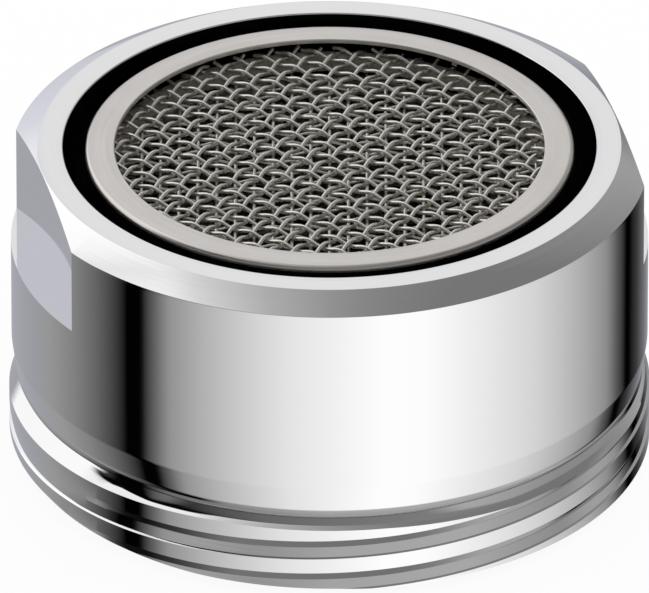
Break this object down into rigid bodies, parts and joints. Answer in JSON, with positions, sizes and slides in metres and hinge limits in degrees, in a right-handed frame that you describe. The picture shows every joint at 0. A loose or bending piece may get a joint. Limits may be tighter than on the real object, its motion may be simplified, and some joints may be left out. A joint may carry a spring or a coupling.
{
  "type": "tap aerator",
  "caption": "Round chromed tap aerator with a male thread, spanner flats and stacked woven wire screens that mix air into the water.",
  "frame": {"origin": "centre of the washer's inlet face, on the surface that the aerator stands on", "axes": "+Z along the thread's axis, from the inlet towards the outlet screen; +X and -X through the two spanner flats"},
  "size_m": [0.024, 0.024, 0.0126],
  "materials": {
    "chromed_brass": "polished",
    "stainless_sheet": "satin",
    "stainless_wire": "drawn wire",
    "black_plastic": "moulded",
    "pale_plastic": "moulded",
    "black_rubber": "matt"
  },
  "bodies": {
    "root": {"housing": "chromed_brass", "screen_cup": "stainless_sheet", "outlet_screen": "stainless_wire", "middle_screen": "stainless_wire", "inner_screen": "stainless_wire", "outlet_spacer": "stainless_sheet", "inner_spacer": "stainless_sheet", "jet_plate": "black_plastic", "inlet_strainer": "pale_plastic", "sealing_washer": "black_rubber"}
  },
  "joints": []
}
